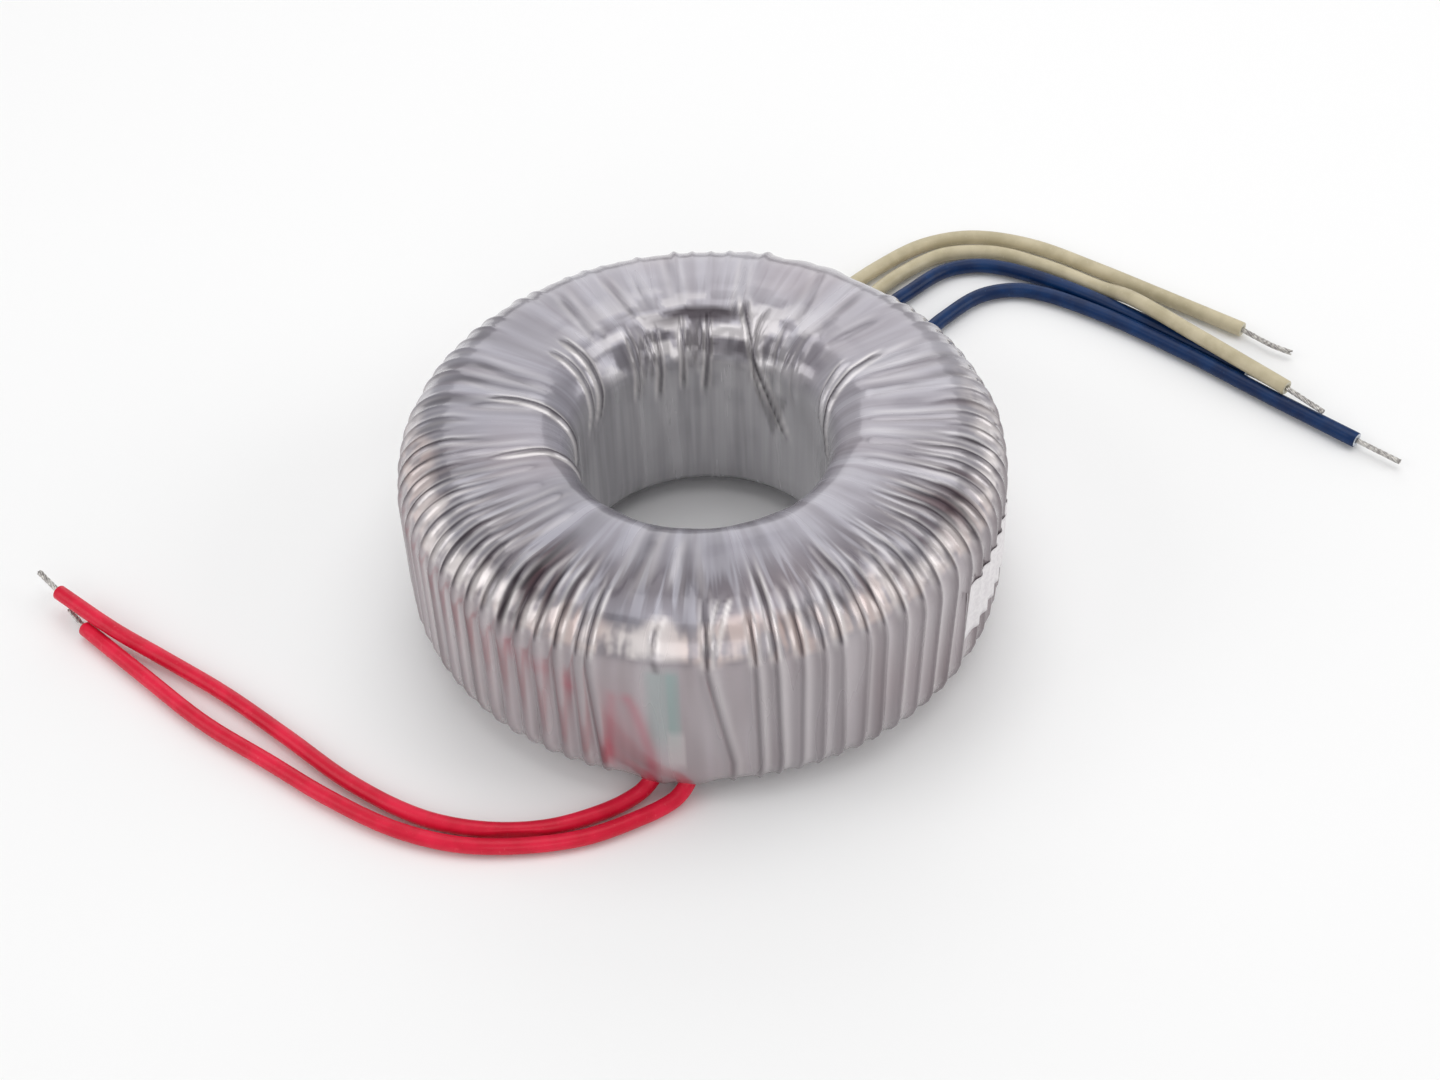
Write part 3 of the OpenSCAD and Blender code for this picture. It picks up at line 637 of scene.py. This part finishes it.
# painted shade: a dark wedge on the hole's wall, below the long fold
wedgeShade = {"at": 54.5, "low": 13, "tall": 8.5, "wide": 10, "edge": 1.6, "dark": 0.42, "top": (20.5, 23)}
wedge = wedgeShade["wide"] * (height - wedgeShade["low"]) / wedgeShade["tall"]
wedgeShadeShare = (on["hole"] | on["rim"]) * ease(wedge - np.abs(apart(around, wedgeShade["at"])), 0, wedgeShade["edge"])
lay("dark", wedgeShade["dark"] * wedgeShadeShare * (1 - ease(height, *wedgeShade["top"])))

# the film's lift over the leads inside it
lifts = {
    "front": {"leads": (-100.2, -93.9), "high": 0.9, "wide": 7, "at": 1.5, "tall": 4.5},
    "rear": {"leads": (74.5, 66, 78.59, 60.5), "high": 1.3, "wide": 6.5, "low": 3, "top": 22.1, "fade": 8},
}


def lift(c):
    return c["high"] * np.max([hump(apart(around, a), c["wide"]) for a in c["leads"]], axis=0)


frontLift = lift(lifts["front"]) * hump(height - lifts["front"]["at"], lifts["front"]["tall"])
aboveTop = height - lifts["rear"]["top"]
rearUp = np.where(aboveTop < 0, 1.0, hump(aboveTop, lifts["rear"]["fade"]))
rearLift = lift(lifts["rear"]) * np.minimum(height / lifts["rear"]["low"], rearUp)
relief = np.clip(layers["relief"], *film["reliefLimits"]) + (frontLift + rearLift) * outside

direction, swing = np.radians(facing), np.radians(around)
ringRadius = radius + relief * np.cos(direction)
ringHeight = np.clip(height + relief * np.sin(direction), 0.0, film["ceiling"])
points = np.stack([ringRadius * np.cos(swing), ringRadius * np.sin(swing), ringHeight], -1)
boxLow, boxHigh = (np.array(c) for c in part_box("outer_film_wrap"))
points = np.clip(points.reshape(-1, 3) * mm, boxLow, boxHigh)
n, m = film["columns"], len(rows)
faces = [(i * m + j, ((i + 1) % n) * m + j, ((i + 1) % n) * m + (j + 1) % m, i * m + (j + 1) % m)
         for i in range(n) for j in range(m)]


# what shows dimly through the film at the front: the red leads inside it, teal tape and a pale tag
def spot(strength, angle, level, wide, tall):
    return strength * np.exp(-(apart(around, angle) / wide)**2 - ((height - level) / tall)**2)


def trace(strength, levels, turnsTo, width):  # a soft line up the wall
    at = np.interp(height, levels, turnsTo)
    inside = (height > levels[0]) * (height < levels[-1])
    return strength * (bell(np.radians(apart(around, at)) * radius, width) * inside)


def strip(angle, half, edge):
    return ease(half - np.abs(apart(around, angle)), 0, edge)


underFilm = {
    "redSpots": [  # strength, angle, height, half width in degrees and half height
        (1, -101, 2.2, 1.5, 3.2), (1, -95.4, 1.8, 1.5, 2.8), (0.75, -108.9, 8.2, 1.1, 2.6),
        (0.6, -115.5, 19.2, 1.4, 1.7), (0.45, -122, 20.8, 2.2, 1.4), (0.45, -127.5, 21.4, 1.8, 1.5),
        (0.16, -106, 12, 4.5, 7)],
    "redTraces": [  # strength, heights, the angle at each, and width
        (0.5, (2, 8.6, 13.5, 18.2, 19.6, 20.4), (-101, -100.7, -102.1, -103.7, -105.0, -107), 0.85),
        (0.32, (5, 10, 14.5, 20), (-109.2, -108.6, -107.9, -107.3), 0.75)],
    "tape": (-98.3, 3.8, 2.2), "tapeFold": (-96.2, 1.5, 0.8), "tapeFades": (8, 14), "tapeTop": (25, 23.5),
    "tag": (-96.1, 1.7, 0.4), "tagFades": (6.6, 7.0), "tagTop": (13.9, 13.5),
}
redThrough = sum(spot(*values) for values in underFilm["redSpots"])
redThrough += sum(trace(*values) for values in underFilm["redTraces"])
tealThrough = 0.6 * strip(*underFilm["tape"]) + 0.4 * strip(*underFilm["tapeFold"])
tealThrough *= ease(height, *underFilm["tapeFades"]) * ease(height, *underFilm["tapeTop"])
tagThrough = strip(*underFilm["tag"])
tagThrough *= ease(height, *underFilm["tagFades"]) * ease(height, *underFilm["tagTop"])

# shares of the material's zones: the wall, the shoulder with its painted highlights, the band of painted
# shade inside it, and the hole
zones = {
    "wall": (-4.4, -2.8), "shoulderIn": (-9, -7), "shoulderOut": (-3.1, -3.9), "shoulderFront": (-0.5, 0.3),
    "unevenIn": 1.5, "unevenOut": 0.6, "bandAt": 8, "bandWide": 7.5, "bandFront": (-0.2, 0.5),
    "rim": (0.5, 0.0),
}
toFront, beforeWall, flat = -np.sin(np.radians(around)), walked - wallAt, 0 * rowShare
shoulderIn = ease(beforeWall + zones["unevenIn"] * softNoise(80, 1, 31, v=flat), *zones["shoulderIn"])
shoulderOut = ease(beforeWall + zones["unevenOut"] * softNoise(110, 1, 32, v=flat), *zones["shoulderOut"])
band = hump(walked - topAt - zones["bandAt"], zones["bandWide"])
rimShare = ease(passed, *zones["rim"])
filmLayers = {
    "dark": layers["dark"], "paintedHighlight": layers["paintedHighlight"], "gap": layers["gap"],
    "redThrough": outside * np.clip(redThrough, 0, 1), "tealThrough": outside * tealThrough,
    "tagThrough": outside * tagThrough,
    "wallShare": ease(beforeWall, *zones["wall"]) * ~on["lowerRim"],
    "cornerShare": shoulderIn * shoulderOut * ease(toFront, *zones["shoulderFront"]),
    "bandShare": band * ease(toFront, *zones["bandFront"]),
    "holeShare": np.select([on["hole"], on["rim"], on["lowerRim"]], [1.0, rimShare, 1.0], 0.0),
}

filmColours = {  # the pairs are mixed by streaks or clouds
    # topShade and topLit are painted shade and painted light on the top
    "topShade": ((0.20, 0.19, 0.22), (0.35, 0.34, 0.39)),
    "topLit": ((0.30, 0.28, 0.315), (0.43, 0.415, 0.46)),
    "side": ((0.325, 0.28, 0.296), (0.45, 0.41, 0.432)),
    "hole": ((0.35, 0.34, 0.36), (0.52, 0.51, 0.53)),
    # painted highlights on the shoulder
    "shoulderHighlight": ((0.85, 0.79, 0.78), (0.62, 0.48, 0.45)),
    # painted shade in the hollows between turns, with the copper's warm tint
    "gap": ((0.016, 0.008, 0.011), (0.07, 0.033, 0.042)),
    # band is painted shade, and holeLit is painted light on the hole's wall
    "band": (0.10, 0.083, 0.10), "topLines": (0.18, 0.155, 0.185), "topClouds": (0.32, 0.25, 0.265),
    "sideClouds": (0.36, 0.275, 0.29), "holeLit": (0.74, 0.73, 0.75), "teal": (0.16, 0.35, 0.32),
    # the pale crease colour below is a painted highlight, and the dark one is painted shade along the creases
    "tag": (0.58, 0.53, 0.53), "red": (0.46, 0.07, 0.12), "paintedHighlight": (0.88, 0.84, 0.83),
    "dark": (0.025, 0.016, 0.023),
}


def filmMaterial(c):
    s = Shade("filmOverCopper")
    x = s.node("ShaderNodeSeparateXYZ", None, {0: s.place}, out="X")
    y = Link(s, x.socket.node.outputs["Y"])
    z = Link(s, x.socket.node.outputs["Z"])
    fromAxis = s.calc("SQRT", x * x + y * y)
    polar = s.node("ShaderNodeCombineXYZ", None, {0: x / fromAxis, 1: y / fromAxis, 2: (z - fromAxis) * 3.0})
    streaks = s.noise(9, 2, at=polar)
    fineStreaks = s.noise(30, 1, at=polar)
    clouds = s.noise(42, 2)
    streaky, cloudy = s.fade(streaks, 0.3, 0.7), s.fade(clouds, 0.5, 0.75) * 0.35
    corner, gap, dark = s.attribute("cornerShare"), s.attribute("gap"), s.attribute("dark")

    lit = s.fade((0.6 * y + 0.8 * x) / fromAxis, -0.95, 0.8)  # painted light: the rear right of the top is paler, mixed from shaded and lit colours
    top = s.mix(lit, s.mix(streaky, *c["topShade"]), s.mix(streaky, *c["topLit"]))
    # a band of painted shade inside the shoulder
    top = s.mix(s.attribute("bandShare") * s.fade(fineStreaks, 0.38, 0.56) * 0.85, top, c["band"])
    top = s.mix(s.fade(fineStreaks, 0.5, 0.7) * 0.25, top, c["topLines"])
    top = s.mix(cloudy, top, c["topClouds"])
    side = s.mix(cloudy, s.mix(streaky, *c["side"]), c["sideClouds"])
    body = s.mix(s.attribute("wallShare"), s.mix(corner * 0.6, top, side), side)

    # painted highlights on the shoulder
    shoulderHighlight = 0.5 * fineStreaks + 0.5 * s.noise(330, 2)
    bright = s.mix(s.fade(clouds, 0.42, 0.62), *c["shoulderHighlight"])
    body = s.mix(corner * s.fade(shoulderHighlight, 0.38, 0.56) * 0.9, body, bright)
    # painted light on the hole's wall, paler towards +X
    hole = s.mix(s.fade(x / fromAxis, 0.3, 0.95) * 0.5, s.mix(streaky, *c["hole"]), c["holeLit"])
    body = s.mix(s.attribute("holeShare"), body, hole)
    body = s.mix(s.attribute("tealThrough") * 0.5, body, c["teal"])
    body = s.mix(s.attribute("tagThrough") * 0.45, body, c["tag"])
    body = s.mix(s.attribute("redThrough") * 0.72, body, c["red"])
    # painted highlights beside the creases
    body = s.mix(s.attribute("paintedHighlight") * 0.75, body, c["paintedHighlight"])
    # painted shade in the hollows between turns, with the copper's warm tint
    body = s.mix(gap * 0.95, body, s.mix(s.fade(fineStreaks, 0.4, 0.6), *c["gap"]))
    # painted shade along the creases
    body = s.mix(dark * 0.92, body, c["dark"])
    return s.finish(Base_Color=body, Metallic=0.3, Roughness=s.fade(streaks, 0.2, 0.9) * 0.12 + 0.2,
                    Specular_IOR_Level=0.35, Coat_Weight=0.5 - 0.5 * s.calc("MAXIMUM", gap, dark),
                    Coat_Roughness=0.08, Normal=s.bump(fineStreaks, 0.08, 0.0002))


filmPiece = addMesh("filmWrap", points, faces, filmMaterial(filmColours))
for name, values in filmLayers.items():
    pointLayer(filmPiece, name, np.clip(values, 0, 1).reshape(-1).astype(np.float32))
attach(filmPiece, "root")
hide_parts("outer_film_wrap")
print("film wrap", len(faces), "faces")

# blank sticker on the wall, pressed over the pleats: angles in degrees, the rest in millimetres
label = {"from": -35.0, "to": 47.0, "low": 10.0, "high": 19.0, "columns": 420, "rows": 12, "thick": 0.09,
         "clear": 0.04, "overPleat": 0.46, "pleatWidth": 0.75,
         "paper": (0.84, 0.81, 0.82), "fibre": (0.75, 0.72, 0.735)}


def labelPaper(c):
    s = Shade("blankSticker")
    fibre = s.noise(1800, 4)
    creases = s.noise(300, 3, at=s.stretch(1, 1, 0.25))
    return s.finish(Base_Color=s.mix(s.fade(fibre, 0.35, 0.65), c["fibre"], c["paper"]),
                    Roughness=0.38 + fibre * 0.1, Normal=s.bump(creases, 0.3, 0.0001))


def makeLabel(c):
    verts, faces = [], []
    for i in range(c["columns"]):
        a = c["from"] + (c["to"] - c["from"]) * i / (c["columns"] - 1)
        nearest = math.radians(min(abs(apart(a, lower)) for _, lower in turns)) * film["wall"]
        back = film["wall"] + (c["overPleat"] * math.exp(-(nearest / c["pleatWidth"])**2) + c["clear"])
        for j in range(c["rows"] + 1):
            z = c["low"] + (c["high"] - c["low"]) * j / c["rows"]
            for r in (back, back + c["thick"]):
                verts.append(Vector((r * math.cos(math.radians(a)), r * math.sin(math.radians(a)), z)) * mm)
    w = 2 * (c["rows"] + 1)  # points in a column, back and front in turn
    for i in range(c["columns"] - 1):
        for j in range(c["rows"]):
            p = i * w + 2 * j
            faces.append((p + 1, p + w + 1, p + w + 3, p + 3))
            faces.append((p, p + 2, p + w + 2, p + w))
        faces.append((i * w, i * w + w, i * w + w + 1, i * w + 1))
        q = i * w + 2 * c["rows"]
        faces.append((q, q + 1, q + w + 1, q + w))
    for i in (0, c["columns"] - 1):
        for j in range(c["rows"]):
            p = i * w + 2 * j
            faces.append((p, p + 1, p + 3, p + 2) if i == 0 else (p, p + 2, p + 3, p + 1))
    return addMesh("sticker", verts, faces, labelPaper(c))


sticker = makeLabel(label)
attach(sticker, "root")
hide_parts("rating_label")
print("sticker on")

# carried-over solids inside the wrap
copper = enamelledCopper("secondaryEnamel", (0.62, 0.26, 0.12), (0.40, 0.14, 0.06))
innerFinish = {
    "core": steelStrip("steelStrip", (0.42, 0.43, 0.45), (0.20, 0.21, 0.23)),
    "core_tape": tape("coreTape", (0.72, 0.62, 0.28), (0.58, 0.48, 0.18)),
    "primary_winding": enamelledCopper("primaryEnamel", (0.66, 0.32, 0.15), (0.42, 0.18, 0.08)),
    "barrier_tape": tape("barrierTape", (0.80, 0.74, 0.48), (0.66, 0.58, 0.32)),
    "secondary_winding_1": copper,
    "secondary_winding_2": copper,
    "splice_tape": tape("tealTape", (0.06, 0.30, 0.28), (0.03, 0.20, 0.20)),
    "lead_tag": tape("paleTag", (0.76, 0.76, 0.72), (0.66, 0.66, 0.60)),
}
sleeve = tape("sleevePlastic", (0.76, 0.74, 0.68), (0.64, 0.62, 0.55))
for name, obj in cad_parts.items():
    material = sleeve if name.startswith("splice_sleeve") else innerFinish.get(name)
    if material:
        obj.data.materials.clear()
        obj.data.materials.append(material)
print("inner solids finished")

# floor and studio light, in metres and watts
studio = {
    "floor": (0.93, 0.93, 0.93), "reach": 4, "below": -0.0002, "world": 0.43, "aim": (0, 0, 0.015),
    "lights": {  # place, size and power
        "overhead": ((0.05, 0.10, 0.62), 0.55, 1.55),
        "left": ((-0.60, -0.15, 0.38), 0.45, 1.08),
        "right": ((0.62, -0.05, 0.34), 0.40, 1.0),
        "back": ((0.0, 0.62, 0.36), 0.50, 0.92),
        "front": ((0.0, -0.70, 0.42), 0.40, 0.78),
    },
}


def floorPaper(colour):
    s = Shade("paperFloor")
    tooth = s.noise(900, 3)
    return s.finish(Base_Color=s.mix(tooth * 0.2, colour, tuple(c * 0.985 for c in colour)), Roughness=0.85,
                    Normal=s.bump(tooth, 0.03, 0.00005))


reach, below = studio["reach"], studio["below"]
corners = [(-reach, -reach, below), (reach, -reach, below), (reach, reach, below), (-reach, reach, below)]
floor = addMesh("floor", corners, [(0, 1, 2, 3)], floorPaper(studio["floor"]), smooth=False)
for name, (at, size, power) in studio["lights"].items():
    lamp = bpy.data.lights.new(name, "AREA")
    lamp.shape = "SQUARE"
    lamp.size = size
    lamp.energy = power
    obj = bpy.data.objects.new(name, lamp)
    obj.location = at
    obj.rotation_euler = (Vector(studio["aim"]) - Vector(at)).to_track_quat("-Z", "Y").to_euler()
    bpy.context.scene.collection.objects.link(obj)
world = bpy.data.worlds.new("studio")
world.use_nodes = True
backdrop = world.node_tree.nodes["Background"]
backdrop.inputs["Color"].default_value = (1, 1, 1, 1)
backdrop.inputs["Strength"].default_value = studio["world"]
bpy.context.scene.world = world
bpy.context.scene.view_settings.view_transform = "Standard"
print("studio lit")
